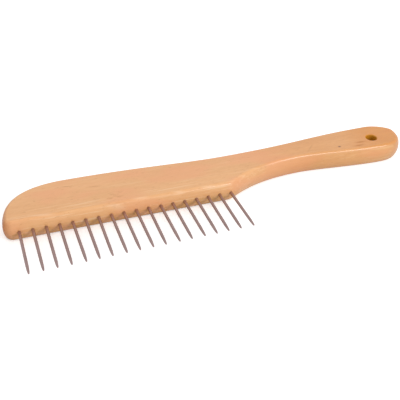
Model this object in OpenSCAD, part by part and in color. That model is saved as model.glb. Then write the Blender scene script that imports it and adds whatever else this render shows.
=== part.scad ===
// Sweater comb: a one-piece wooden board, head and handle in one, with a row of
// round steel pins pressed into blind holes along its tooth edge.
// Units are millimetres and degrees. The comb lies flat on its broad face:
// +X runs from the toe to the butt of the handle, the pins point to -Y, and +Z is up.
// Lengths along the comb are measured from the first pin, and heights across it from
// the middle of the tooth edge. The last transform puts the origin under the middle.

/* [Pins] */
// Number of pins in the row
pin_count = 18; // [10:1:30]
// Distance from one pin to the next
pin_pitch = 6.35; // [5:0.05:9]
// Diameter of a pin
pin_d = 1.5; // [1:0.1:2.4]
// Free length of a pin in the middle of the row
pin_free = 29.7; // [18:0.1:45]
// Length of a pin inside the wood
pin_seat = 12; // [6:0.5:16]
// Length of the pointed end of a pin
point_len = 7.5; // [3:0.5:12]
// Diameter of the blunt end of the point
point_d = 0.5; // [0.2:0.1:0.9]
// Gap between a pin and the wall of its hole
pin_gap = 0.02; // [0.01:0.01:0.05]
// Depth of the hole past the end of the pin
hole_spare = 0.3; // [0:0.1:1]

/* [Head] */
// Thickness of the board
board_t = 11.5; // [9:0.5:16]
// Height of the back above the tooth edge at its crown
head_depth = 31.2; // [25.2:0.5:40.2]
// Distance of the crown from the first pin
crown_at = 26.5; // [20:0.5:40]
// Length of the head past the first pin
toe_over = 7.1; // [5:0.1:14]
// Height of the foremost point of the toe
toe_rise = 5; // [4.5:0.1:8]
// Length of the rounded corner under the toe
toe_corner = 4.5; // [3:0.1:5]
// Place where the straight tooth edge ends, past the last pin
heel_over = -1; // [-3:0.1:3]
// Angle between the tooth edge and the line of the pin points
edge_slant = 0.94; // [0:0.02:1.5]

/* [Handle] */
// Length of the handle past the last pin
handle_len = 114.5; // [95:0.5:150]
// Place of the hollow in the back, past the last pin
waist_at = 4; // [0:0.5:12]
// Depth of that hollow, from the level of the crown
waist_drop = 4.3; // [0:0.1:8]
// Place of the hollow in the front of the handle, past the last pin
neck_at = 47.5; // [38:0.5:60]
// Drop from the level of the crown to the front in that hollow
neck_drop = 20.3; // [15:0.1:23]
// Width of the handle at its widest place
bulb_w = 24.9; // [18:0.1:32]
// Height of the back at the widest place, above the level of the crown
bulb_over = 0.1; // [-4:0.1:4]
// Distance of the widest place from the butt
bulb_in = 16; // [11:0.5:20]
// Height of the butt above the middle of the widest place
butt_lift = 2.9; // [-3:0.1:4]

/* [Hanging hole] */
// Diameter of the hanging hole
hang_d = 6.3; // [4:0.1:8]
// Distance of the hanging hole from the butt
hang_in = 19.1; // [14:0.1:24]
// Distance of the hanging hole below the middle of the widest place
hang_drop = 1.5; // [-2:0.1:3]
// Radius of the eased rim of the hanging hole
hang_ease = 0.7; // [0.3:0.1:1]

/* [Edge rounding] */
// How far every edge swells out in the middle of the thickness
edge_swell = 1.6; // [0.4:0.1:2.2]
// Radius at the toe
toe_r = 2.2; // [1:0.1:2.4]
// Radius along the tooth edge
tooth_r = 2; // [1:0.1:2.5]
// Radius along the back and the handle
handle_r = 1.6; // [1:0.1:3]
// Radius at the butt
butt_r = 3.2; // [1.5:0.1:3.3]

/* [Hidden] */
// How far each pin leans towards the handle, in degrees, as set by hand on the bench
LEANS = [0, 0.2, 0, 0, 0.4, 0, -0.6, 0, 0, 0, -0.5, 0.5, 0, 0.4, 0, -0.5, -0.4, 0.5];
// Half the height kept for the swelling wall between the top and bottom rounding
least_wall = 0.5;
// How far the faces may draw in at a bend, as a share of the bend's own radius
bend_share = 0.95;
// The smallest edge radius, where a bend leaves room for no more
least_r = 0.3;
// Steps of a rounded edge, of the swelling wall, of the hanging hole's rim, of a long
// stretch of outline, of a rounded corner and of the point of a pin. The tooth edge
// has as many steps as the toe and the back above it, so that the front and the back
// of the outline pair up point by point.
round_steps = 4;
wall_steps = 4;
ease_steps = 5;
curve_steps = 16;
corner_steps = 8;
edge_steps = corner_steps + curve_steps;
point_steps = 8;
wood_colour = [0.87, 0.67, 0.48];
steel_colour = [0.62, 0.58, 0.58];

row_len = (pin_count - 1) * pin_pitch;
butt_x = row_len + handle_len;
bulb_x = butt_x - bulb_in;
bulb_back = head_depth + bulb_over;
bulb_front = bulb_back - bulb_w;
bulb_mid = (bulb_back + bulb_front) / 2;
hang_x = butt_x - hang_in;
hang_y = bulb_mid - hang_drop;
mid_z = board_t / 2;
swell_r = (pow(mid_z, 2) + pow(edge_swell, 2)) / (2 * edge_swell);
hole_d = pin_d + 2 * pin_gap;

// Height of the slanting tooth edge, which is level with zero in the middle of the row
function edge_y(x) = (row_len / 2 - x) * tan(edge_slant);

// The middle of the whole comb, for the origin
middle_x = (butt_x - toe_over) / 2;
middle_y = (max(head_depth, bulb_back) - pin_free) / 2;

function pin_name(i) = str("pin_", i < 9 ? "0" : "", i + 1);

// The turning points of the outline. The outline runs level or upright through
// all of them but the two ends of the tooth edge, where it keeps the edge's slant.
corner_x = toe_corner - toe_over;
heel_x = row_len + heel_over;
along_edge = [cos(edge_slant), -sin(edge_slant)];
level = [1, 0];
upright = [0, 1];
corner = [corner_x, edge_y(corner_x)];
heel = [heel_x, edge_y(heel_x)];
neck = [row_len + neck_at, head_depth - neck_drop];
belly = [bulb_x, bulb_front];
butt = [butt_x, bulb_mid + butt_lift];
bulb = [bulb_x, bulb_back];
waist = [row_len + waist_at, head_depth - waist_drop];
crown = [crown_at, head_depth];
toe = [-toe_over, toe_rise];

// A stretch of outline between two turning points: where it starts, its direction
// and pull there, where it ends, its direction and pull there, and its steps.
// A pull is a share of the distance covered in that direction.
function stretch(a, dir_a, pull_a, b, dir_b, pull_b, steps) =
    [a, a + dir_a * (dir_a * (b - a)) * pull_a, b - dir_b * (dir_b * (b - a)) * pull_b, b, steps];
STRETCHES = [
    stretch(corner, along_edge, 0.3, heel, along_edge, 0.3, edge_steps),
    stretch(heel, along_edge, 0.12, neck, level, 0.7, curve_steps),
    stretch(neck, level, 0.21, belly, level, 0.33, curve_steps),
    stretch(belly, level, 0.75, butt, upright, 0.52, corner_steps),
    stretch(butt, upright, 0.53, bulb, level, 0.38, corner_steps),
    stretch(bulb, level, 0.44, waist, level, 0.52, curve_steps),
    stretch(waist, level, 0.23, crown, level, 0.45, curve_steps),
    stretch(crown, level, 0.76, toe, upright, 0.48, curve_steps),
    stretch(toe, upright, 0.52, corner, along_edge, 0.52, corner_steps)
];

// A cubic curve and its direction
function curve(s, t) =
    s[0] * pow(1 - t, 3) + s[1] * 3 * t * pow(1 - t, 2) + s[2] * 3 * t * t * (1 - t) + s[3] * pow(t, 3);
function heading(s, t) =
    (s[1] - s[0]) * pow(1 - t, 2) + (s[2] - s[1]) * 2 * t * (1 - t) + (s[3] - s[2]) * t * t;

// Radius of an outward bend where a stretch starts or ends. Here a is the step from
// that end to its neighbour, b the step from there to the next, and turn is 1 or -1.
function bend(a, b, turn) = 1.5 * pow(norm(a), 3) / max(turn * cross(a, b), 0.001);

// The edge radius wanted where each stretch starts, and the one that the bend there
// has room for, so that the rim of a face never draws in past the bend's centre
WANTED = [tooth_r, tooth_r, handle_r, handle_r, butt_r, handle_r, handle_r, handle_r, toe_r];
function room(k) = let (s = STRETCHES[k], e = STRETCHES[(k + len(STRETCHES) - 1) % len(STRETCHES)])
    bend_share * min(bend(s[1] - s[0], s[2] - s[1], 1), bend(e[2] - e[3], e[1] - e[2], -1));
function radius_in(c) =
    (pow(swell_r, 2) - pow(mid_z, 2) - pow(max(swell_r - c, 0), 2)) / (2 * (swell_r - mid_z));
RADII = [for (k = [0 : len(STRETCHES) - 1])
    max(least_r, min(WANTED[k], mid_z - least_wall, radius_in(room(k))))];

// The edge radius goes gently from one end of a stretch to the other
function edge_radius(k, t) = RADII[k] + (RADII[(k + 1) % len(RADII)] - RADII[k]) * (1 - cos(180 * t)) / 2;

// Section of an edge from the top face to the bottom face: how far each point lies in
// from the outline, and its height. A rounding of radius r runs into the swelling
// wall, which is an arc of radius swell_r, where both have the same lean.
function edge_section(r) =
    let (lean = asin((mid_z - r) / (swell_r - r)),
         rounding = [for (k = [0 : round_steps]) let (tilt = 90 + (lean - 90) * k / round_steps)
             [swell_r - (swell_r - r) * cos(lean) - r * cos(tilt), mid_z - r + r * sin(tilt)]],
         wall = [for (k = [1 : wall_steps / 2]) let (tilt = lean * (1 - 2 * k / wall_steps))
             [swell_r * (1 - cos(tilt)), swell_r * sin(tilt)]],
         upper = concat(rounding, wall))
    concat([for (p = upper) [p[0], mid_z + p[1]]],
           [for (k = [len(upper) - 2 : -1 : 0]) [upper[k][0], mid_z - upper[k][1]]]);

// Points round the outline, each with its outward direction and its edge section
OUTLINE = [
    for (k = [0 : len(STRETCHES) - 1], i = [0 : STRETCHES[k][4] - 1])
        let (s = STRETCHES[k], t = i / s[4], h = heading(s, t))
        [curve(s, t), [h[1], -h[0]] / norm(h), edge_section(edge_radius(k, t))]
];
function ring_point(o, ring) =
    let (p = o[0] - o[1] * o[2][ring][0])
    [p[0], p[1], o[2][ring][1]];

// A broad face of n points as a strip of triangles between the front of the outline,
// which runs up from point 0, and the back, which runs down from the last point
function flat_face(n) = concat(
    [for (i = [0 : n / 2 - 2]) [i, i + 1, n - 1 - i]],
    [for (i = [1 : n / 2 - 1]) [i, n - 1 - i, n - i]]);

module board() {
    n = len(OUTLINE);
    rings = len(OUTLINE[0][2]);
    points = [for (ring = [0 : rings - 1], o = OUTLINE) ring_point(o, ring)];
    sides = [
        for (ring = [0 : rings - 2], i = [0 : n - 1])
            let (a = ring * n + i, b = ring * n + (i + 1) % n)
            each [[a, b, b + n], [a, b + n, a + n]]
    ];
    top = [for (f = flat_face(n)) [f[2], f[1], f[0]]];
    bottom = [for (f = flat_face(n)) f + (rings - 1) * n * [1, 1, 1]];
    polyhedron(points, concat(top, bottom, sides), convexity = 6);
}

// The hanging hole as the solid that it removes, with both rims eased
module hanging_hole() {
    r = hang_d / 2;
    ease = [for (k = [0 : ease_steps]) let (a = 90 * k / ease_steps)
        [r + hang_ease * (1 - cos(a)), hang_ease * sin(a)]];
    profile = concat(
        [[0, -1], [r + hang_ease, -1]],
        [for (k = [0 : ease_steps]) [ease[ease_steps - k][0], hang_ease - ease[ease_steps - k][1]]],
        [for (e = ease) [e[0], board_t - hang_ease + e[1]]],
        [[r + hang_ease, board_t + 1], [0, board_t + 1]]);
    rotate_extrude($fn = 64) polygon(profile);
}

// Puts its child at the foot of pin i, with +Z of the child running out to the point
module at_pin(i) {
    x = i * pin_pitch;
    translate([x, edge_y(x), mid_z])
        rotate([0, 0, LEANS[i % len(LEANS)]])
            rotate([90, 0, 0])
                children();
}

// A pin turned to a blunt point, with its seat below zero and its free length above
module pin_shape(i) {
    seat = pin_seat - edge_y(i * pin_pitch);
    free = pin_free + edge_y(i * pin_pitch);
    blunt = point_d / 2;
    point = [for (k = [0 : point_steps]) let (a = 90 * k / point_steps)
        [blunt + (pin_d / 2 - blunt) * cos(a), free - point_len + point_len * sin(a)]];
    rotate_extrude($fn = 32) polygon(concat([[0, -seat], [pin_d / 2, -seat]], point, [[0, free]]));
}

module pin_hole(i) {
    seat = pin_seat - edge_y(i * pin_pitch) + hole_spare;
    translate([0, 0, -seat]) cylinder(h = seat + tooth_r + pin_pitch, d = hole_d, $fn = 32);
}

module place() translate([-middle_x, -middle_y, 0]) children();

module wooden_body() {
    color(wood_colour)
        place()
            difference() {
                board();
                translate([hang_x, hang_y, 0]) hanging_hole();
                for (i = [0 : pin_count - 1]) at_pin(i) pin_hole(i);
            }
}

module pin(i) {
    color(steel_colour) place() at_pin(i) pin_shape(i);
}

wooden_body();
for (i = [0 : pin_count - 1]) pin(i);
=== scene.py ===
# Sweater comb: the finish of a wooden board and its row of steel pins, laid round the
# solid model. Lengths are in metres, in the model's own frame: the comb lies flat on
# its broad face, +X runs from the toe to the butt, and the pins point to -Y.
import math

import bmesh
import bpy
import numpy as np
from mathutils import Matrix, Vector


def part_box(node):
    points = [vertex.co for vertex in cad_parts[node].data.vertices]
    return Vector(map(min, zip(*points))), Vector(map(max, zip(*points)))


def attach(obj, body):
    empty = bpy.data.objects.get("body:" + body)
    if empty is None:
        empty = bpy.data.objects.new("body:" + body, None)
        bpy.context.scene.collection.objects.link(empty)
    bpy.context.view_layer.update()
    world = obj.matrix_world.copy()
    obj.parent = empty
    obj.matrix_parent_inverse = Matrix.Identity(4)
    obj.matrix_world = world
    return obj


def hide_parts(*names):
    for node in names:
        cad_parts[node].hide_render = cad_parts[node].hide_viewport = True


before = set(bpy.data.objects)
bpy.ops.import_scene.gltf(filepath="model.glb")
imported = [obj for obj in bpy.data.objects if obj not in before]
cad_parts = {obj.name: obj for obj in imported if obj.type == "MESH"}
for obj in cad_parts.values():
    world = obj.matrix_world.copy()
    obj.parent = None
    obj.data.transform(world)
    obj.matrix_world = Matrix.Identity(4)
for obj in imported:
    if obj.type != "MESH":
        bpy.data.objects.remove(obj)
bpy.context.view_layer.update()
MM = 0.001


# Wooden body
# One flat board of pale close-grained hardwood, sawn to shape, rounded over along its
# edges on a spindle, bored, sanded and dipped in clear satin lacquer.

# The pins in their order along the row, and how thick a slice of each counts as its end
pin_nodes = sorted(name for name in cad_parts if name.startswith("pin_"))
END_SLICE = 0.1 * MM


def pin_ends(node):
    """The middles of a pin's two end faces, as (seat, point), from its CAD mesh."""
    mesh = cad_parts[node].data
    co = np.empty(len(mesh.vertices) * 3)
    mesh.vertices.foreach_get("co", co)
    co = co.reshape(-1, 3)
    seat = co[co[:, 1] > co[:, 1].max() - END_SLICE]
    point = co[co[:, 1] < co[:, 1].min() + END_SLICE]
    return (seat.max(0) + seat.min(0)) / 2, (point.max(0) + point.min(0)) / 2


body_low, body_high = (np.array(corner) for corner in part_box("wooden_body"))
board_t = body_high[2] - body_low[2]
butt_x = body_high[0]
toe_x = body_low[0]
pin_r = (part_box("pin_01")[1][2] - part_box("pin_01")[0][2]) / 2

# The board's outline: the tooth edge and the head
EDGE_SLANT = math.radians(0.94)
HEAD_LEVEL = -0.8 * MM            # place of the tooth edge in Y, in the middle of the row
HEAD_DEPTH = 31.2 * MM            # from the tooth edge to the crown
PIN_PITCH = 6.35 * MM
TOE_OVER = 7.1 * MM               # from the toe to the first pin
TOE_CORNER = 4.5 * MM             # from the toe to the start of the tooth edge
TOE_RISE = 5 * MM                 # from the tooth edge to the toe's foremost point
CROWN_AT = 26.5 * MM              # from the first pin
HEEL_OVER = -1 * MM               # from the last pin to the end of the tooth edge

# The waist and the neck, as places from the last pin and drops from the crown
WAIST_AT, WAIST_DROP = 4 * MM, 4.3 * MM
NECK_AT, NECK_DROP = 47.5 * MM, 20.3 * MM

# The bulb at the end of the handle, as its place from the butt, its height over the crown
# and its width, and the lift of the butt's furthest point over the bulb's middle
BULB_IN, BULB_OVER, BULB_WIDTH = 16 * MM, 0.1 * MM, 24.9 * MM
BUTT_LIFT = 2.9 * MM

# The roundings between the edge and the broad faces
TOOTH_R, HANDLE_R, TOE_R, BUTT_R = 2 * MM, 1.6 * MM, 2.2 * MM, 3.2 * MM

first_x = toe_x + TOE_OVER
last_x = first_x + (len(pin_nodes) - 1) * PIN_PITCH
row_middle = (first_x + last_x) / 2
crown_y = HEAD_LEVEL + HEAD_DEPTH


def tooth_edge(x):
    """A point of the tooth edge: a straight line that slants towards -Y near the handle."""
    return np.array([x, HEAD_LEVEL + (row_middle - x) * math.tan(EDGE_SLANT)])


# The turning points of the outline, the directions it runs in there, and its stretches:
# ends, directions, pulls as shares of the distance covered, edge radii, steps
corner = tooth_edge(toe_x + TOE_CORNER)
heel = tooth_edge(last_x + HEEL_OVER)
bulb_x = butt_x - BULB_IN
bulb = np.array([bulb_x, crown_y + BULB_OVER])
belly = np.array([bulb_x, bulb[1] - BULB_WIDTH])
bulb_middle = (bulb[1] + belly[1]) / 2
butt = np.array([butt_x, bulb_middle + BUTT_LIFT])
neck = np.array([last_x + NECK_AT, crown_y - NECK_DROP])
waist = np.array([last_x + WAIST_AT, crown_y - WAIST_DROP])
crown = np.array([first_x + CROWN_AT, crown_y])
toe = np.array([toe_x, HEAD_LEVEL + TOE_RISE])
along_edge = np.array([math.cos(EDGE_SLANT), -math.sin(EDGE_SLANT)])
level = np.array([1.0, 0.0])
upright = np.array([0.0, 1.0])
EDGE_STEPS, TOE_STEPS, LONG_STEPS, BUTT_STEPS = 400, 64, 96, 48
STRETCHES = [
    (corner, along_edge, 0.3, heel, along_edge, 0.3, TOOTH_R, TOOTH_R, EDGE_STEPS),
    (heel, along_edge, 0.12, neck, level, 0.7, TOOTH_R, HANDLE_R, LONG_STEPS),
    (neck, level, 0.21, belly, level, 0.33, HANDLE_R, HANDLE_R, LONG_STEPS),
    (belly, level, 0.75, butt, upright, 0.52, HANDLE_R, BUTT_R, BUTT_STEPS),
    (butt, upright, 0.53, bulb, level, 0.38, BUTT_R, HANDLE_R, BUTT_STEPS),
    (bulb, level, 0.44, waist, level, 0.52, HANDLE_R, HANDLE_R, LONG_STEPS),
    (waist, level, 0.23, crown, level, 0.45, HANDLE_R, HANDLE_R, LONG_STEPS),
    (crown, level, 0.76, toe, upright, 0.48, HANDLE_R, TOE_R, EDGE_STEPS - TOE_STEPS),
    (toe, upright, 0.52, corner, along_edge, 0.52, TOE_R, TOOTH_R, TOE_STEPS),
]


def outline():
    """Points round the board with their outward directions and edge radii. Each stretch
    is a cubic curve from a to b, whose inner points p and q lie along the end directions.
    The radius goes from one end's to the other's as half a cosine wave."""
    places, outwards, radii = [], [], []
    for a, dir_a, pull_a, b, dir_b, pull_b, r_a, r_b, steps in STRETCHES:
        t = np.arange(steps)[:, None] / steps
        p = a + dir_a * (dir_a @ (b - a)) * pull_a
        q = b - dir_b * (dir_b @ (b - a)) * pull_b
        heading = (p - a) * (1 - t) ** 2 + (q - p) * 2 * t * (1 - t) + (b - q) * t**2
        outward = heading[:, ::-1] * [1, -1]
        places.append(a * (1 - t) ** 3 + p * 3 * t * (1 - t) ** 2 + q * 3 * t**2 * (1 - t) + b * t**3)
        outwards.append(outward / np.linalg.norm(outward, axis=1)[:, None])
        radii.append(r_a + (r_b - r_a) * (1 - np.cos(np.pi * t[:, 0])) / 2)
    return np.concatenate(places), np.concatenate(outwards), np.concatenate(radii)


def sheet_faces(rows, columns, closed_columns=False):
    """The four corners of every cell of a grid of points that is stored row by row. Closed
    columns run on from the last column to the first."""
    i = np.arange(rows - 1)[:, None]
    j = np.arange(columns if closed_columns else columns - 1)[None, :]
    a = i * columns + j
    b = i * columns + (j + 1) % columns
    c = (i + 1) * columns + (j + 1) % columns
    d = (i + 1) * columns + j
    return np.stack([a, b, c, d], axis=-1).reshape(-1, 4)


WELD = 0.0005 * MM                # points nearer to each other than this become one


def make_piece(name, sheets, attributes=()):
    """One mesh object from several grids of points, welded where they meet. A sheet is
    (points, faces) and an attribute is (name, one value for each point)."""
    starts = np.cumsum([0] + [len(points) for points, _ in sheets])
    points = np.concatenate([points for points, _ in sheets])
    faces = np.concatenate([quads + start for (_, quads), start in zip(sheets, starts)])
    mesh = bpy.data.meshes.new(name)
    mesh.from_pydata(points.tolist(), [], faces.tolist())
    for label, values in attributes:
        mesh.attributes.new(label, "FLOAT", "POINT").data.foreach_set("value", values)
    work = bmesh.new()
    work.from_mesh(mesh)
    bmesh.ops.remove_doubles(work, verts=work.verts, dist=WELD)
    bmesh.ops.recalc_face_normals(work, faces=work.faces)
    for face in work.faces:
        face.smooth = True
    work.to_mesh(mesh)
    work.free()
    piece = bpy.data.objects.new(name, mesh)
    bpy.context.scene.collection.objects.link(piece)
    return piece


ROUND_STEPS = 12
WALL_STEPS = 12
EDGE_SWELL = 1.6 * MM             # how far every edge stands out in the middle of the thickness
SWELL_R = ((board_t / 2) ** 2 + EDGE_SWELL**2) / (2 * EDGE_SWELL)
SUPPORT = 0.4 * MM                # flat rim kept inside the rounding, so that the face stays flat
ACROSS = 10                       # cells across a broad face
TOOTH_BAND = 1.5 * MM             # reach of the tooth edge in Y, for the marks round the pins
DIMPLE_R = 0.95 * MM              # the drill's crumbled, sanded mouth round each pin
DIMPLE_DEPTH = 0.2 * MM
DIMPLE_BELL = 2.5                 # how steeply the dimple's bell curve falls
MOUTH_R = 0.9 * MM                # the dark ring in the same place


def rounded_edge(places, outwards, radii):
    """The edge surface as a grid, one row for each height, with a flat rim at both ends.
    The wall swells out as an arc of radius R. At a tilt, it lies in by R(1 - cos tilt) and
    above the middle by R sin tilt. A rounding of radius r meets it where both lean alike,
    at sin lean = (h - r) / (R - r), with h half the thickness."""
    half_t = board_t / 2
    lean = np.arcsin((half_t - radii) / (SWELL_R - radii))
    share = np.linspace(0, 1, ROUND_STEPS + 1)[:, None]
    tilt = np.pi / 2 * (1 - share) + lean * share
    rounding = SWELL_R - (SWELL_R - radii) * np.cos(lean) - radii * np.cos(tilt)
    lift = half_t - radii + radii * np.sin(tilt)
    tilt = lean * (1 - 2 * np.arange(1, WALL_STEPS)[:, None] / WALL_STEPS)
    inset = np.concatenate([rounding, SWELL_R * (1 - np.cos(tilt)), rounding[::-1]])
    heights = np.concatenate([half_t + lift, half_t + SWELL_R * np.sin(tilt), half_t - lift[::-1]])
    rim = inset[:1] + SUPPORT
    inset = np.concatenate([rim, inset, rim])
    heights = np.concatenate([heights[:1], heights, heights[-1:]])
    flat = places[None] - outwards[None] * inset[..., None]
    return np.concatenate([flat, heights[..., None]], axis=-1)


def from_nearest_pin(grid):
    """How far each point of the tooth edge is from the axis of the nearest pin. Points off
    the tooth edge are infinitely far from every pin."""
    x, y, z = grid[..., 0], grid[..., 1], grid[..., 2]
    nearest = np.clip(np.round((x - first_x) / PIN_PITCH), 0, len(pin_nodes) - 1)
    distance = np.hypot(x - first_x - nearest * PIN_PITCH, z - board_t / 2)
    return np.where(y < HEAD_LEVEL + TOOTH_BAND, distance, np.inf)


def dimpled(grid):
    """The tooth edge sinks a little round every pin, by exp(-bell (distance / radius)^4)."""
    sunk = grid.copy()
    sunk[..., 1] += DIMPLE_DEPTH * np.exp(-DIMPLE_BELL * (from_nearest_pin(grid) / DIMPLE_R) ** 4)
    return sunk


def pin_mouth(grid):
    """How near a point is to a pin's mouth: exp(-(distance / radius)^4), 1 at the pin."""
    return np.exp(-(from_nearest_pin(grid) / MOUTH_R) ** 4)


# The toe's sawn end is darker than the butt's with painted shade, as it faces away from the lamp
TOE_GRAIN_AND_SHADE, BUTT_GRAIN = 1.0, 0.5  # how dark the sawn end of the grain is at either end


def sawn_ends_and_shade(grid, outwards, radii):
    """How much end grain, with painted shade at the toe, a point of the edge shows: the square of
    its outward direction's share along the grain, times the root of how far it has come round from the
    face."""
    from_face = np.minimum(grid[..., 2], board_t - grid[..., 2])
    upright_share = np.clip(from_face / radii, 0, 1)
    darkness = np.where(outwards[:, 0] < 0, TOE_GRAIN_AND_SHADE, BUTT_GRAIN)
    return darkness * outwards[:, 0] ** 2 * upright_share**0.5


places, outwards, radii = outline()
edge_grid = dimpled(rounded_edge(places, outwards, radii))
rows, around = edge_grid.shape[:2]
half = around // 2                # points from the toe's corner to the butt, along the front

# The hanging hole: its place from the butt and below the bulb's middle
HANG_IN, HANG_DROP = 19.1 * MM, 1.5 * MM
HANG_R = 3.15 * MM
HANG_EASE = 0.7 * MM              # radius of the rounding at the hole's rims
HANG_SPAN = 8 * MM                # half the length of the patch of board round the hole
FAN_STEPS = 8                     # cells from the hole's rim to the patch's
FAN_CROWDING = 0.8                # below 1 the lines lie further apart near the hole
EASE_STEPS, BORE_STEPS = 8, 6
LACQUER_LIP = 0.4                 # how far down the rim's rounding the lacquer runs
hang = np.array([butt_x - HANG_IN, bulb_middle - HANG_DROP])


def broad_face(ring, height):
    """A broad face as two flat grids across the board, left and right of the patch that
    holds the hanging hole, and a fan of lines from that patch's rim to the hole's."""
    front = ring[: half + 1]
    back = ring[np.arange(around, half - 1, -1) % around]
    share = np.linspace(0, 1, ACROSS + 1)[None, :, None]
    face = front[:, None] * (1 - share) + back[:, None] * share
    face = np.concatenate([face, np.full(face.shape[:2] + (1,), height)], axis=-1)
    middle = face[:, ACROSS // 2, 0]
    left = int(np.argmin(abs(middle - hang[0] + HANG_SPAN)))
    right = int(np.argmin(abs(middle - hang[0] - HANG_SPAN)))
    rim = np.concatenate([
        face[left:right, 0], face[right, :ACROSS], face[right:left:-1, ACROSS], face[left, ACROSS:0:-1]])
    bearing = np.arctan2(rim[:, 1] - hang[1], rim[:, 0] - hang[0])
    hole = np.stack([
        hang[0] + (HANG_R + HANG_EASE) * np.cos(bearing),
        hang[1] + (HANG_R + HANG_EASE) * np.sin(bearing),
        np.full(len(rim), height)], axis=-1)
    step = np.linspace(0, 1, FAN_STEPS + 1)[:, None, None] ** FAN_CROWDING
    fan = hole * (1 - step) + rim * step
    sheets = []
    for part in (face[: left + 1], face[right:]):
        sheets.append((part.reshape(-1, 3), sheet_faces(len(part), ACROSS + 1)))
    sheets.append((fan.reshape(-1, 3), sheet_faces(FAN_STEPS + 1, len(rim), closed_columns=True)))
    return sheets, bearing


top_sheets, bearing = broad_face(edge_grid[0, :, :2], board_t)
bottom_sheets, _ = broad_face(edge_grid[-1, :, :2], 0.0)


def hanging_hole():
    """The wall of the hanging hole turned about its axis: a quarter round at each rim,
    where the radius is r + ease(1 - cos a) and the depth ease(1 - sin a). Also says how
    far inside each point is: 0 at the rims and 1 on the wall."""
    a = np.radians(np.linspace(90, 0, EASE_STEPS + 1))
    wall = np.arange(1, BORE_STEPS) / BORE_STEPS
    radius = HANG_R + HANG_EASE * np.concatenate([1 - np.cos(a), 0 * wall, (1 - np.cos(a))[::-1]])
    drop = HANG_EASE * (1 - np.sin(a))
    height = np.concatenate([
        board_t - drop, board_t - HANG_EASE - wall * (board_t - 2 * HANG_EASE), drop[::-1]])
    points = np.stack([
        hang[0] + radius[:, None] * np.cos(bearing),
        hang[1] + radius[:, None] * np.sin(bearing),
        np.repeat(height[:, None], len(bearing), axis=1)], axis=-1)
    inside = np.clip((1 - (radius - HANG_R) / HANG_EASE) * (1 + LACQUER_LIP) - LACQUER_LIP, 0, 1)
    sheet = points.reshape(-1, 3), sheet_faces(len(radius), len(bearing), closed_columns=True)
    return sheet, np.repeat(inside, len(bearing))


end_grain = sawn_ends_and_shade(edge_grid, outwards, radii)
sheets = [(edge_grid.reshape(-1, 3), sheet_faces(rows, around, closed_columns=True))]
hole_sheet, bored = hanging_hole()
sheets += top_sheets + bottom_sheets + [hole_sheet]
others = [np.zeros(len(points)) for points, _ in sheets[1:-1]]
wooden_board = make_piece("wooden_board", sheets, [
    ("end_grain", np.concatenate([end_grain.ravel(), *others, 0 * bored])),
    ("mouth", np.concatenate([pin_mouth(edge_grid).ravel(), *others, 0 * bored])),
    ("bored", np.concatenate([0 * end_grain.ravel(), *others, bored]))])


class Wire:
    """A socket of a node tree that takes part in sums. Numbers go through Math nodes."""

    def __init__(self, tree, socket):
        self.tree = tree
        self.socket = socket

    def node(self, kind, inputs=None, **settings):
        """Makes any node: settings first, then the values or wires of its sockets."""
        made = self.tree.nodes.new(kind)
        for name, value in settings.items():
            setattr(made, name, value)
        for name, value in (inputs or {}).items():
            if isinstance(value, Wire):
                self.tree.links.new(value.socket, made.inputs[name])
            else:
                made.inputs[name].default_value = value
        return made

    def out(self, made, name=0):
        """The wire that comes out of a node."""
        return Wire(self.tree, made.outputs[name])

    def feeds(self, socket):
        """Links the wire to a socket of a shader or a background."""
        self.tree.links.new(self.socket, socket)

    def math(self, operation, other=0.0):
        made = self.node("ShaderNodeMath", {0: self, 1: other}, operation=operation)
        return self.out(made)

    def __add__(self, other):
        return self.math("ADD", other)

    __radd__ = __add__

    def __mul__(self, other):
        return self.math("MULTIPLY", other)

    __rmul__ = __mul__

    def __sub__(self, other):
        return self.math("SUBTRACT", other)

    def __rsub__(self, other):
        return self.math("MULTIPLY", -1.0) + other

    def smooth(self, low, high):
        """0 at low and 1 at high, with a smooth step between them. Low may be the larger."""
        made = self.node(
            "ShaderNodeMapRange", {"Value": self, "From Min": low, "From Max": high},
            interpolation_type="SMOOTHSTEP")
        return self.out(made, "Result")

    def tint(self, below, above):
        """A colour that goes from below, at 0, to above, at 1."""
        made = self.node(
            "ShaderNodeMix", {"Factor": self, 6: below, 7: above}, data_type="RGBA", clamp_factor=True)
        return self.out(made, 2)


def new_material(name):
    """A material with its Principled shader, and the wire that starts at Object coordinates."""
    material = bpy.data.materials.new(name)
    material.use_nodes = True
    shader = material.node_tree.nodes["Principled BSDF"]
    coordinates = material.node_tree.nodes.new("ShaderNodeTexCoord")
    return material, shader, Wire(material.node_tree, coordinates.outputs["Object"])


def colour(red, green, blue):
    """A colour as it is seen on a screen, 0 to 255, as the linear values that nodes take."""
    seen = np.array([red, green, blue]) / 255
    linear = np.where(seen <= 0.04045, seen / 12.92, ((seen + 0.055) / 1.055) ** 2.4)
    return (*linear.tolist(), 1.0)


def stretched_noise(place, along, across, detail=2.0, roughness=0.5, distortion=0.0, offset=0.0):
    """Noise in cells of along by across metres, drawn out along the grain."""
    mapped = place.node("ShaderNodeMapping", {
        "Vector": place, "Location": (offset, offset, offset),
        "Scale": (1 / along, 1 / across, 1 / across)})
    noise = place.node("ShaderNodeTexNoise", {
        "Vector": place.out(mapped), "Scale": 1.0, "Detail": detail,
        "Roughness": roughness, "Distortion": distortion})
    return place.out(noise)


def mixed(base, mask, other, blend="MIX"):
    """A colour wire that goes from base to another colour where the mask is 1."""
    made = base.node(
        "ShaderNodeMix", {"Factor": mask, 6: base, 7: other}, data_type="RGBA", clamp_factor=True,
        blend_type=blend)
    return base.out(made, 2)


def attribute(place, name):
    """A number stored on the mesh's own points."""
    return place.out(place.node("ShaderNodeAttribute", attribute_name=name), "Fac")


def coordinate(place, axis):
    """One of the object's own coordinates, in metres."""
    return place.out(place.node("ShaderNodeSeparateXYZ", {"Vector": place}), axis)


MARK_DEPTH = 8 * MM               # how far down the edge a mark of the top face fades away


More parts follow.
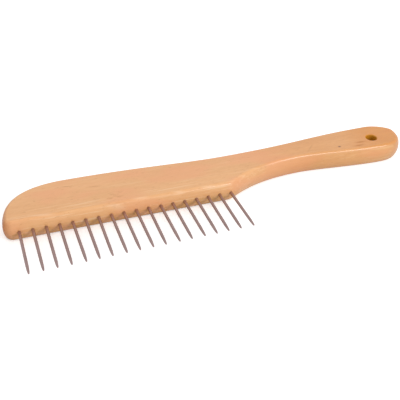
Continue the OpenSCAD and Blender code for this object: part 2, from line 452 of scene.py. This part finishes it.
def patch(place, x, y, along, across, turn):
    """A soft ellipse on the top face: 1 in its middle and 0 from its rim outwards. Its
    middle and its half lengths are in millimetres and its turn is in degrees."""
    mapped = place.node("ShaderNodeMapping", {
        "Vector": place, "Location": (x * MM, y * MM, board_t),
        "Rotation": (0.0, 0.0, math.radians(turn)),
        "Scale": (along * MM, across * MM, MARK_DEPTH)}, vector_type="TEXTURE")
    length = place.node("ShaderNodeVectorMath", {0: place.out(mapped)}, operation="LENGTH")
    return place.out(length, "Value").smooth(1.0, 0.0)


def marks(place, ellipses):
    """A mask with several soft ellipses on the top face."""
    return sum(patch(place, *ellipse) for ellipse in ellipses)


# The wood's own colours
WOOD = colour(235, 176, 119)
WOOD_PALE = colour(243, 197, 148)
WOOD_DEEP = colour(221, 160, 102)
WOOD_ROSE = colour(236, 165, 114)
# Not the wood's own colour: painted warm shade for the low tooth edge
OLIVE_SHADE = colour(206, 150, 62)

# The colours multiplied in along the handle, which darken it towards the butt; the butt's wall is
# painted shade
GRIP_DARKENING = colour(249, 243, 228)
FACE_DARKENING = colour(252, 226, 186)
BUTT_AMBER = colour(249, 232, 184)
BUTT_SHADE = colour(236, 230, 214)

# The colours of the marks and of the cut wood
WOOD_BLOND = colour(250, 210, 170)
WOOD_FLECK = colour(190, 126, 66)
WOOD_RESIN = colour(196, 118, 30)
WOOD_KNOT = colour(120, 66, 34)
# The sawn end grain, darkened further at the toe with painted shade
WOOD_END_AND_SHADE = colour(192, 104, 30)
WOOD_MOUTH = colour(150, 106, 50)
WOOD_BORED = colour(200, 134, 4)

# Where each change of tone starts and where it is full: across the board, up from the
# table, up or down from the middle of the thickness, and along the board
NEAR_TEETH_Y = 10 * MM, 1 * MM
LOW_FRONT_Y = 2 * MM, 0
LOW_FRONT_Z = 8 * MM, 2 * MM
ON_FACE_Z = board_t / 2 - 1.3 * MM, board_t / 2 - 0.1 * MM
GRIP_X = 15 * MM, 60 * MM
GRIP_FACE_X = 8 * MM, 34 * MM
BUTT_FACE_X = 72 * MM, 100 * MM
BUTT_WALL_X = 98 * MM, 110 * MM

# The values of the noise between which each pattern fades in
BANDS_FADE = 0.3, 0.65
PALE_FADE = 0.53, 0.66
DEEP_FADE = 0.42, 0.3
ROSE_FADE = 0.45, 0.65
OLIVE_FADE = 0.4, 0.6
MOTTLE_FADE = 0.52, 0.62
FLECK_FADE = 0.66, 0.74

# The marks of this piece of wood, as ellipses: x, y, half lengths along and across, turn
BLOND_STREAKS = [
    (-96, 2.4, 9, 1.1, -10), (-60.2, 0.1, 7.5, 1.1, -10), (-47.6, 1.2, 6.5, 1.1, -4),
    (-28, 0.6, 4.5, 1.1, -10), (-12, 0.2, 7, 1.1, -7)]
MOTTLED_PATCH = [(-61, 6, 16, 11, 0)]
DARK_RAYS = [(-80.5, 22, 5, 0.6, -12), (-67, 17.7, 5, 0.6, -8)]
BENT_GRAIN = [(56, 17, 7, 0.7, 44)]
RESIN_STROKES = [(87, 13.9, 5.5, 1.5, 0), (84.2, 11, 5.5, 1.4, 0)]
SPECK = [(72.7, 13.3, 1.3, 1.1, 0)]

# Grain: wide bands and fine mottling, pale and deep streaks and rosy zones; and painted shade,
# an olive tone low on the tooth edge
wood, shader, place = new_material("lacquered_beech")
mottle = stretched_noise(place, along=5 * MM, across=1.7 * MM, detail=3.0, roughness=0.6)
bands = stretched_noise(place, along=90 * MM, across=9 * MM, detail=1.0, distortion=0.4, offset=2.2)
streaks = stretched_noise(place, along=30 * MM, across=0.9 * MM, roughness=0.55, offset=3.1)
rosy = stretched_noise(place, along=30 * MM, across=14 * MM, detail=1.0, offset=7.7)
flecks = stretched_noise(place, along=2.6 * MM, across=0.5 * MM, detail=1.0, offset=11.3)
tone = ((bands * 0.5 + mottle * 0.5).smooth(*BANDS_FADE) * 0.6 + 0.4).tint(WOOD_DEEP, WOOD)
near_teeth = coordinate(place, "Y").smooth(*NEAR_TEETH_Y)
tone = mixed(tone, streaks.smooth(*PALE_FADE) * (near_teeth * 0.6 + 0.25), WOOD_PALE)
tone = mixed(tone, streaks.smooth(*DEEP_FADE) * 0.15, WOOD_DEEP)
tone = mixed(tone, rosy.smooth(*ROSE_FADE) * 0.7, WOOD_ROSE)
# Painted shade: a warm olive tone low on the tooth edge, near the table and under the pins
low_front_shade = coordinate(place, "Z").smooth(*LOW_FRONT_Z) * coordinate(place, "Y").smooth(*LOW_FRONT_Y)
tone = mixed(tone, low_front_shade * mottle.smooth(*OLIVE_FADE) * 0.7, OLIVE_SHADE)

# The handle darker towards the butt, its broad faces more than its edges; on the butt's wall this is
# painted shade
off_middle = (coordinate(place, "Z") - board_t / 2).math("ABSOLUTE")
on_face = off_middle.smooth(*ON_FACE_Z)
lengthwise = coordinate(place, "X")
tone = mixed(tone, lengthwise.smooth(*GRIP_X), GRIP_DARKENING, "MULTIPLY")
tone = mixed(tone, lengthwise.smooth(*GRIP_FACE_X) * on_face * 0.2, FACE_DARKENING, "MULTIPLY")
tone = mixed(tone, lengthwise.smooth(*BUTT_FACE_X) * on_face, BUTT_AMBER, "MULTIPLY")
# Painted shade on the wall round the butt
tone = mixed(tone, lengthwise.smooth(*BUTT_WALL_X) * (1 - on_face), BUTT_SHADE, "MULTIPLY")

# Marks: blond streaks along the tooth edge, a mottled patch, short dark rays, a bent grain
# line, two strokes of resin beside the hanging hole and one speck
tone = mixed(tone, marks(place, BLOND_STREAKS) * 0.4, WOOD_BLOND)
mottled = marks(place, MOTTLED_PATCH) * mottle.smooth(*MOTTLE_FADE)
dark_lines = marks(place, DARK_RAYS) * 0.5 + marks(place, BENT_GRAIN) * 0.35
fleck_mask = flecks.smooth(*FLECK_FADE) * 0.35 + mottled * 0.4 + dark_lines
tone = mixed(tone, fleck_mask, WOOD_FLECK)
tone = mixed(tone, marks(place, RESIN_STROKES) * 0.9, WOOD_RESIN)
tone = mixed(tone, marks(place, SPECK), WOOD_KNOT)

# Cut wood: the end grain, darker at the toe with painted shade, the pins' mouths and the bare wall of
# the hanging hole
sawn_end_and_shade = attribute(place, "end_grain")
bored_mask = attribute(place, "bored")
tone = mixed(tone, sawn_end_and_shade * 0.9, WOOD_END_AND_SHADE)
tone = mixed(tone, attribute(place, "mouth") * 0.7, WOOD_MOUTH)
tone = mixed(tone, bored_mask, WOOD_BORED)
tone.feeds(shader.inputs["Base Color"])

# Satin lacquer, which sinks into the end grain and leaves the hole's wall bare
SATIN, LACQUER, LACQUER_ROUGHNESS = 0.34, 0.6, 0.16
rough = streaks * 0.08 + SATIN + bored_mask * 0.4 + sawn_end_and_shade * 0.2
rough.feeds(shader.inputs["Roughness"])
lacquer = LACQUER - bored_mask * LACQUER - sawn_end_and_shade * 0.5
lacquer.feeds(shader.inputs["Coat Weight"])
shader.inputs["Coat Roughness"].default_value = LACQUER_ROUGHNESS
bump = place.node("ShaderNodeBump", {
    "Height": streaks * 0.7 - fleck_mask, "Strength": 0.08, "Distance": 0.3 * MM})
place.out(bump).feeds(shader.inputs["Normal"])

wooden_board.data.materials.append(wood)
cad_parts["wooden_body"].data.materials.clear()
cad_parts["wooden_body"].data.materials.append(wood)
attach(wooden_board, "root")
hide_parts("wooden_body")


# Steel pins
# Eighteen lengths of drawn steel wire, each ground to a blunt point and pressed into its
# blind hole in the tooth edge, up to a depth stop. None is quite square to the edge.

PIN_SIDES = 32
SHANK_RINGS, POINT_RINGS = 24, 16
POINT_LEN = 7.5 * MM
POINT_R = 0.25 * MM


def pin_surface(seat, point):
    """A pin turned about the line from seat to point. The radius is the wire's up to the
    ground end, and there it falls as the cosine of the share of the point's length."""
    length = np.linalg.norm(point - seat)
    axis = (point - seat) / length
    side = np.array([axis[1], -axis[0], 0.0])
    side /= np.linalg.norm(side)
    lift = np.cross(axis, side)
    shank = np.linspace(0, length - POINT_LEN, SHANK_RINGS)
    share = np.radians(np.linspace(0, 90, POINT_RINGS))[1:]
    reach = np.concatenate([[0.0], shank, length - POINT_LEN * (1 - np.sin(share)), [length]])
    radius = np.concatenate([
        [0.0], np.full(len(shank), pin_r), POINT_R + (pin_r - POINT_R) * np.cos(share), [0.0]])
    turn = np.arange(PIN_SIDES) * 2 * np.pi / PIN_SIDES
    spoke = np.cos(turn)[None, :, None] * side + np.sin(turn)[None, :, None] * lift
    points = seat + reach[:, None, None] * axis + radius[:, None, None] * spoke
    return points.reshape(-1, 3), sheet_faces(len(reach), PIN_SIDES, closed_columns=True)


STEEL_DULL = colour(163, 139, 137)
STEEL_BRIGHT = colour(187, 161, 157)

steel, shader, place = new_material("drawn_steel")
scratch = stretched_noise(place, along=0.6 * MM, across=0.12 * MM)
polish = stretched_noise(place, along=4 * MM, across=6 * MM, detail=1.0, offset=5.0)
tone = polish.tint(STEEL_DULL, STEEL_BRIGHT)
tone.feeds(shader.inputs["Base Color"])
rough = scratch * 0.15 + 0.3
rough.feeds(shader.inputs["Roughness"])
shader.inputs["Metallic"].default_value = 1.0

for node in pin_nodes:
    pin = make_piece("steel_" + node, [pin_surface(*pin_ends(node))])
    pin.data.materials.append(steel)
    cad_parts[node].data.materials.clear()
    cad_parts[node].data.materials.append(steel)
    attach(pin, "root")
    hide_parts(node)


# Table and light
# The comb lies flat on a plain white table, under one soft lamp and an even sky. What the
# camera and the reflections see of the table is whiter than what lights the wood.
TABLE_SIZE = 6.0
TABLE_WHITE = (1, 1, 1, 1)
TABLE_BOUNCE = (0.44, 0.43, 0.4, 1)
TABLE_GLOW = (0.35, 0.35, 0.35, 1)
NO_GLOW = (0, 0, 0, 1)

corners = np.array([[-1, -1, 0], [1, -1, 0], [1, 1, 0], [-1, 1, 0]]) * TABLE_SIZE / 2
table_mesh = bpy.data.meshes.new("table_top")
table_mesh.from_pydata(corners.tolist(), [], [(0, 1, 2, 3)])
table = bpy.data.objects.new("table_top", table_mesh)
bpy.context.scene.collection.objects.link(table)
paper, shader, place = new_material("white_paper")
seen = place.out(place.node("ShaderNodeLightPath"), "Is Camera Ray")
glint = place.out(place.node("ShaderNodeLightPath"), "Is Glossy Ray")
white = (seen + glint).tint(TABLE_BOUNCE, TABLE_WHITE)
white.feeds(shader.inputs["Base Color"])
glow = seen.tint(NO_GLOW, TABLE_GLOW)
glow.feeds(shader.inputs["Emission Color"])
shader.inputs["Emission Strength"].default_value = 1.0
shader.inputs["Roughness"].default_value = 0.9
table_mesh.materials.append(paper)


def placed(name, data, place, right, up, back):
    """An object that stands at a place, turned so that its own axes run right, up and back."""
    made = bpy.data.objects.new(name, data)
    made.matrix_world = Matrix([
        [right[0], up[0], back[0], place[0]],
        [right[1], up[1], back[1], place[1]],
        [right[2], up[2], back[2], place[2]],
        [0, 0, 0, 1]])
    bpy.context.scene.collection.objects.link(made)
    return made


LAMP_PLACE = np.array([0.66, -0.95, 0.73])
LAMP_SIZE = 0.55
LAMP_POWER = 8                    # in watts
lamp_data = bpy.data.lights.new("soft_key", "AREA")
lamp_data.shape = "SQUARE"
lamp_data.size = LAMP_SIZE
lamp_data.energy = LAMP_POWER
lamp_back = LAMP_PLACE / np.linalg.norm(LAMP_PLACE)
lamp_right = np.cross([0, 0, 1], lamp_back)
lamp_right /= np.linalg.norm(lamp_right)
lamp_up = np.cross(lamp_back, lamp_right)
placed("soft_key", lamp_data, LAMP_PLACE, lamp_right, lamp_up, lamp_back)

SKY_LIGHT = 0.78
SKY_SEEN = 1.0
world = bpy.data.worlds.new("studio")
world.use_nodes = True
bpy.context.scene.world = world
background = world.node_tree.nodes["Background"]
background.inputs["Color"].default_value = (1, 1, 1, 1)
sky_path = world.node_tree.nodes.new("ShaderNodeLightPath")
sky_seen = Wire(world.node_tree, sky_path.outputs["Is Camera Ray"])
sky = sky_seen * (SKY_SEEN - SKY_LIGHT) + SKY_LIGHT
sky.feeds(background.inputs["Strength"])


# Camera
# It stands at arm's length, above and before the comb, turned and tilted so that the comb
# fills the frame.
CAMERA_PLACE = (-114.7 * MM, -249.53 * MM, 201.1 * MM)
CAMERA_TURN, CAMERA_DIP, CAMERA_ROLL = 21.52, 36.355, 1.97    # in degrees
LENS, SENSOR = 57.94, 36.0        # in millimetres, as Blender takes them
NEAREST = 10 * MM
turn, dip, roll = (math.radians(a) for a in (CAMERA_TURN, CAMERA_DIP, CAMERA_ROLL))
turned = np.array([
    [math.cos(turn), -math.sin(turn), 0], [math.sin(turn), math.cos(turn), 0], [0, 0, 1]])
laid = np.array([[1, 0, 0], [0, 0, -1], [0, 1, 0]])
dipped = np.array([
    [1, 0, 0], [0, math.cos(dip), -math.sin(dip)], [0, math.sin(dip), math.cos(dip)]])
rolled = np.array([
    [math.cos(roll), -math.sin(roll), 0], [math.sin(roll), math.cos(roll), 0], [0, 0, 1]])
right, down, ahead = rolled @ dipped @ laid @ turned
camera_data = bpy.data.cameras.new("camera")
camera_data.lens = LENS
camera_data.sensor_width = SENSOR
camera_data.sensor_fit = "HORIZONTAL"
camera_data.clip_start = NEAREST
bpy.context.scene.camera = placed("camera", camera_data, CAMERA_PLACE, right, -down, -ahead)
bpy.context.scene.view_settings.view_transform = "Standard"
